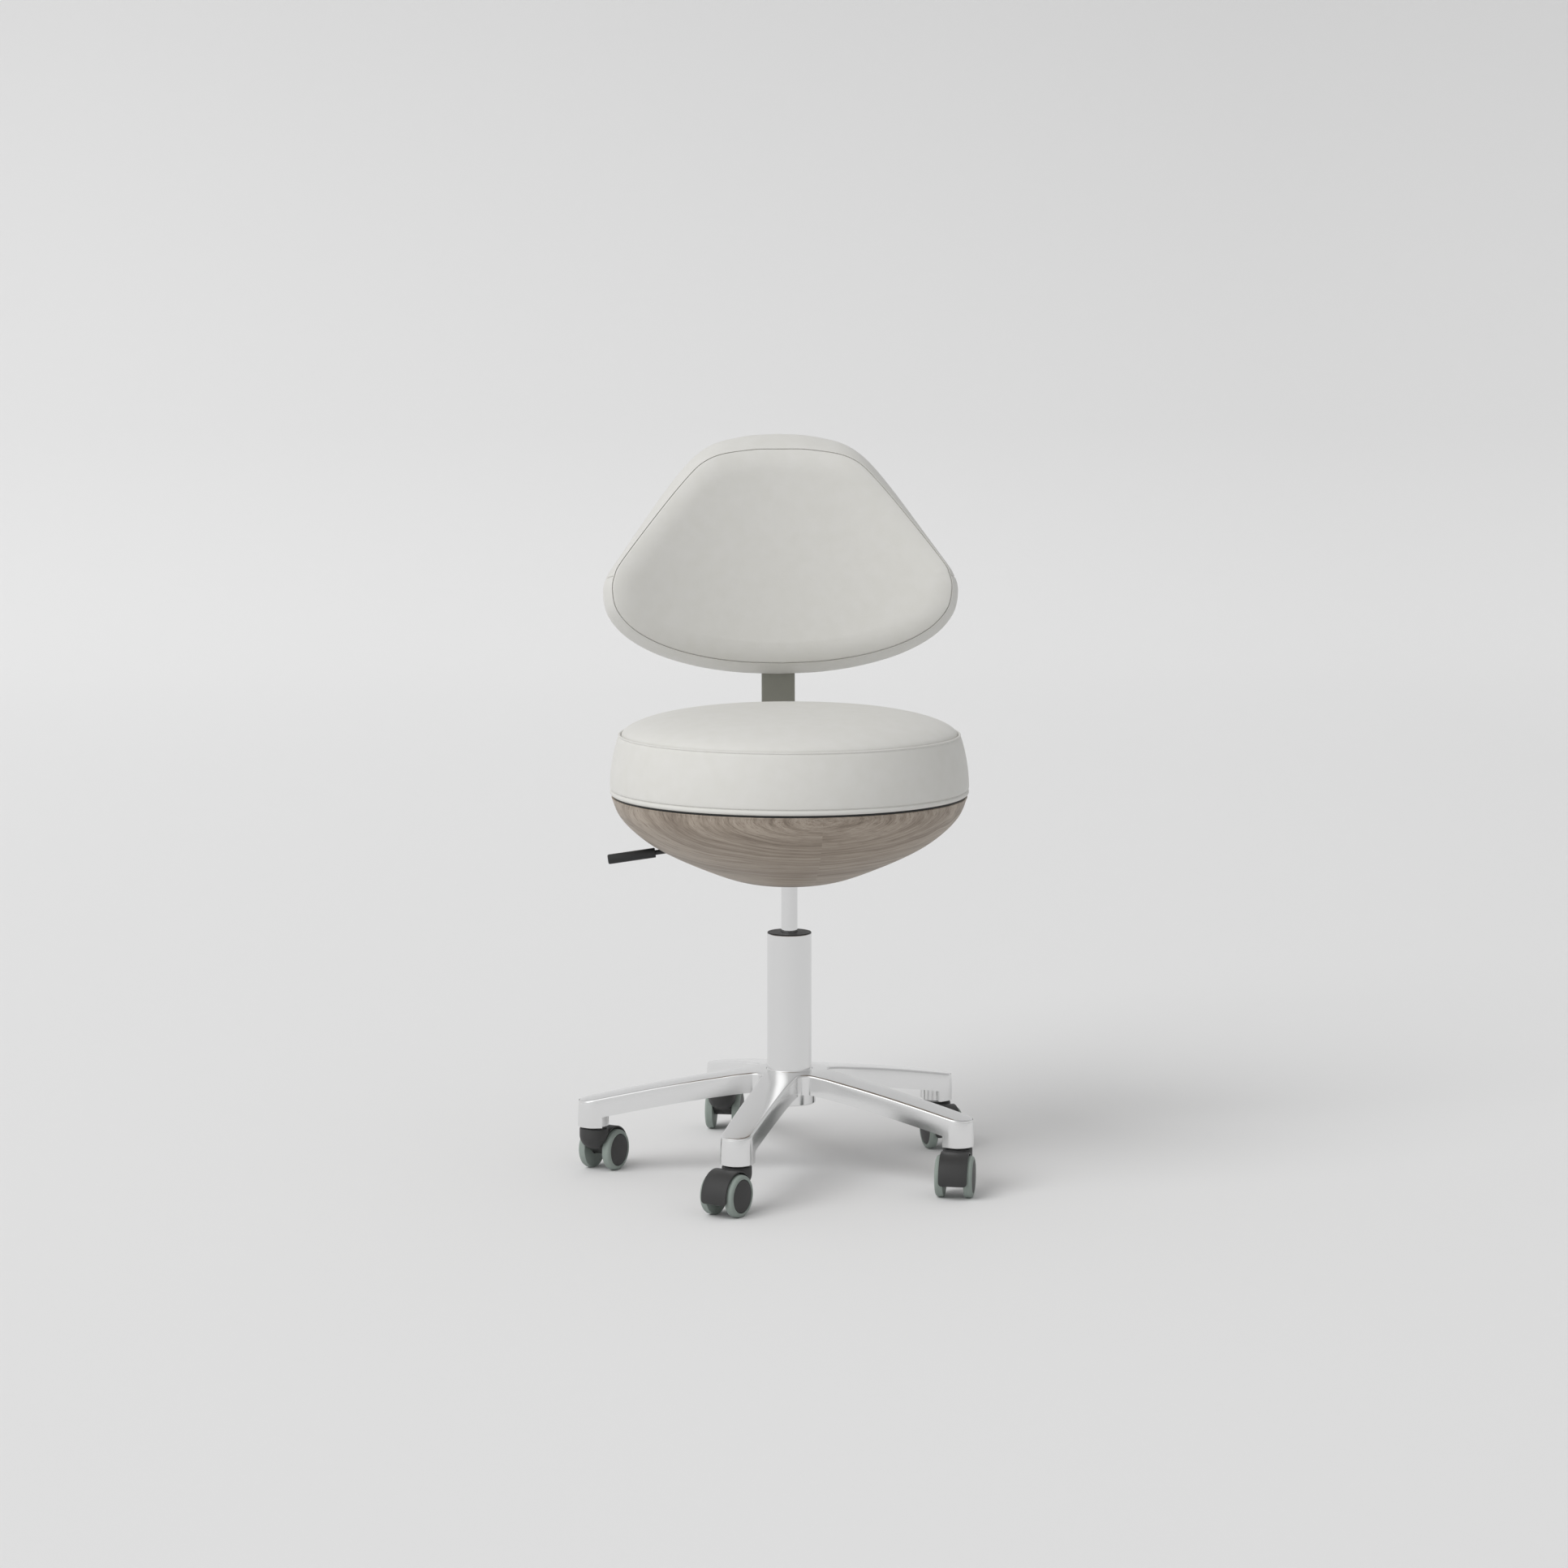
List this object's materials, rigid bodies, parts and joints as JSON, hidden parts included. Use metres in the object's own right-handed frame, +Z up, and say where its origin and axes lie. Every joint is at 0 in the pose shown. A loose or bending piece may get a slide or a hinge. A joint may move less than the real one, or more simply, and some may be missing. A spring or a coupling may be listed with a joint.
{
  "type": "salon stool",
  "caption": "Round upholstered swivel stool with a contoured backrest, a wood grain bowl under the seat, a lever height lift and a star base on twin wheel casters.",
  "frame": {"origin": "on the axis of the lift column, at floor level", "axes": "+Z up along the lift column, the sitter faces -Y, +X to the right of a viewer in front of the stool"},
  "size_m": [0.446, 0.516, 0.82],
  "materials": {
    "base_metal": "satin",
    "column_metal": "satin",
    "lift_chrome": "polished",
    "zinc_steel": "satin",
    "black_steel": "satin",
    "bar_paint": "satin",
    "black_plastic": "matte",
    "caster_plastic": "satin",
    "tread_rubber": "matte",
    "bump_rubber": "matte",
    "plywood": "matte",
    "bowl_oak": "satin",
    "upholstery": "matte"
  },
  "bodies": {
    "base": {"star_base": "base_metal", "caster_stems": "zinc_steel", "column_tube": "column_metal", "column_bush": "black_plastic", "column_foot": "zinc_steel", "bearing_race_lower": "zinc_steel", "bearing_balls": "zinc_steel"},
    "spindle": {"bearing_race_upper": "zinc_steel", "bump_ring": "bump_rubber", "piston_rod": "lift_chrome", "piston": "zinc_steel", "rod_clip": "zinc_steel"},
    "seat": {"pressure_tube": "lift_chrome", "rod_guide": "black_plastic", "seat_mechanism": "black_steel", "lever_pivot_pin": "zinc_steel", "seat_board": "plywood", "seat_screws": "zinc_steel", "seat_cushion": "upholstery", "trim_ring": "black_plastic", "seat_bowl": "bowl_oak", "bowl_screws": "zinc_steel", "back_bar": "bar_paint", "back_board": "upholstery", "back_pad": "upholstery", "back_screws": "zinc_steel"},
    "lever": {"lever_rod": "black_steel", "lever_grip": "black_plastic"},
    "valve_pin": {"release_pin": "zinc_steel"},
    "caster_1": {"caster_1_housing": "caster_plastic", "caster_1_axle": "zinc_steel"},
    "wheel_1_left": {"caster_1_wheel_left": "caster_plastic", "caster_1_tyre_left": "tread_rubber"},
    "wheel_1_right": {"caster_1_wheel_right": "caster_plastic", "caster_1_tyre_right": "tread_rubber"},
    "caster_2": {"caster_2_housing": "caster_plastic", "caster_2_axle": "zinc_steel"},
    "wheel_2_left": {"caster_2_wheel_left": "caster_plastic", "caster_2_tyre_left": "tread_rubber"},
    "wheel_2_right": {"caster_2_wheel_right": "caster_plastic", "caster_2_tyre_right": "tread_rubber"},
    "caster_3": {"caster_3_housing": "caster_plastic", "caster_3_axle": "zinc_steel"},
    "wheel_3_left": {"caster_3_wheel_left": "caster_plastic", "caster_3_tyre_left": "tread_rubber"},
    "wheel_3_right": {"caster_3_wheel_right": "caster_plastic", "caster_3_tyre_right": "tread_rubber"},
    "caster_4": {"caster_4_housing": "caster_plastic", "caster_4_axle": "zinc_steel"},
    "wheel_4_left": {"caster_4_wheel_left": "caster_plastic", "caster_4_tyre_left": "tread_rubber"},
    "wheel_4_right": {"caster_4_wheel_right": "caster_plastic", "caster_4_tyre_right": "tread_rubber"},
    "caster_5": {"caster_5_housing": "caster_plastic", "caster_5_axle": "zinc_steel"},
    "wheel_5_left": {"caster_5_wheel_left": "caster_plastic", "caster_5_tyre_left": "tread_rubber"},
    "wheel_5_right": {"caster_5_wheel_right": "caster_plastic", "caster_5_tyre_right": "tread_rubber"}
  },
  "joints": [
    {"name": "seat_swivel", "type": "hinge", "parent": "base", "child": "spindle", "pos_m": [0, 0, 0.09], "axis": [0, 0, 1], "continuous": true},
    {"name": "seat_lift", "type": "slide", "parent": "spindle", "child": "seat", "axis": [0, 0, 1], "range_m": [-0.045, 0.08]},
    {"name": "lever_pivot", "type": "hinge", "parent": "seat", "child": "lever", "pos_m": [-0.028, 0, 0.379], "axis": [0, 1, 0], "range_deg": [0, 5.7], "stiffness_Nm_per_rad": 3, "springref_deg": -2.86},
    {"name": "valve_travel", "type": "slide", "parent": "seat", "child": "valve_pin", "axis": [0, 0, -1], "range_m": [0, 0.003]},
    {"name": "caster_1_swivel", "type": "hinge", "parent": "base", "child": "caster_1", "pos_m": [-0.21999, 0.00154, 0.04], "axis": [0, 0, 1], "continuous": true},
    {"name": "caster_1_left_spin", "type": "hinge", "parent": "caster_1", "child": "wheel_1_left", "pos_m": [-0.2087, 0.019, 0.023], "axis": [0.8396, -0.5432, 0], "continuous": true},
    {"name": "caster_1_right_spin", "type": "hinge", "parent": "caster_1", "child": "wheel_1_right", "pos_m": [-0.2087, 0.019, 0.023], "axis": [0.8396, -0.5432, 0], "continuous": true},
    {"name": "caster_2_swivel", "type": "hinge", "parent": "base", "child": "caster_2", "pos_m": [-0.06944, -0.20875, 0.04], "axis": [0, 0, 1], "continuous": true},
    {"name": "caster_2_left_spin", "type": "hinge", "parent": "caster_2", "child": "wheel_2_left", "pos_m": [-0.08143, -0.22575, 0.023], "axis": [-0.8171, 0.5764, 0], "continuous": true},
    {"name": "caster_2_right_spin", "type": "hinge", "parent": "caster_2", "child": "wheel_2_right", "pos_m": [-0.08143, -0.22575, 0.023], "axis": [-0.8171, 0.5764, 0], "continuous": true},
    {"name": "caster_3_swivel", "type": "hinge", "parent": "base", "child": "caster_3", "pos_m": [0.17708, -0.13055, 0.04], "axis": [0, 0, 1], "continuous": true},
    {"name": "caster_3_left_spin", "type": "hinge", "parent": "caster_3", "child": "wheel_3_left", "pos_m": [0.17243, -0.15083, 0.023], "axis": [-0.9748, 0.2233, 0], "continuous": true},
    {"name": "caster_3_right_spin", "type": "hinge", "parent": "caster_3", "child": "wheel_3_right", "pos_m": [0.17243, -0.15083, 0.023], "axis": [-0.9748, 0.2233, 0], "continuous": true},
    {"name": "caster_4_swivel", "type": "hinge", "parent": "base", "child": "caster_4", "pos_m": [0.17888, 0.12807, 0.04], "axis": [0, 0, 1], "continuous": true},
    {"name": "caster_4_left_spin", "type": "hinge", "parent": "caster_4", "child": "wheel_4_left", "pos_m": [0.18346, 0.10778, 0.023], "axis": [-0.9755, -0.2198, 0], "continuous": true},
    {"name": "caster_4_right_spin", "type": "hinge", "parent": "caster_4", "child": "wheel_4_right", "pos_m": [0.18346, 0.10778, 0.023], "axis": [-0.9755, -0.2198, 0], "continuous": true},
    {"name": "caster_5_swivel", "type": "hinge", "parent": "base", "child": "caster_5", "pos_m": [-0.06652, 0.2097, 0.04], "axis": [0, 0, 1], "continuous": true},
    {"name": "caster_5_left_spin", "type": "hinge", "parent": "caster_5", "child": "wheel_5_left", "pos_m": [-0.06255, 0.23012, 0.023], "axis": [0.9816, -0.1908, 0], "continuous": true},
    {"name": "caster_5_right_spin", "type": "hinge", "parent": "caster_5", "child": "wheel_5_right", "pos_m": [-0.06255, 0.23012, 0.023], "axis": [0.9816, -0.1908, 0], "continuous": true}
  ],
  "couplings": [
    {"joint": "valve_travel", "follows": "lever_pivot", "m_per_rad": 0.03}
  ]
}
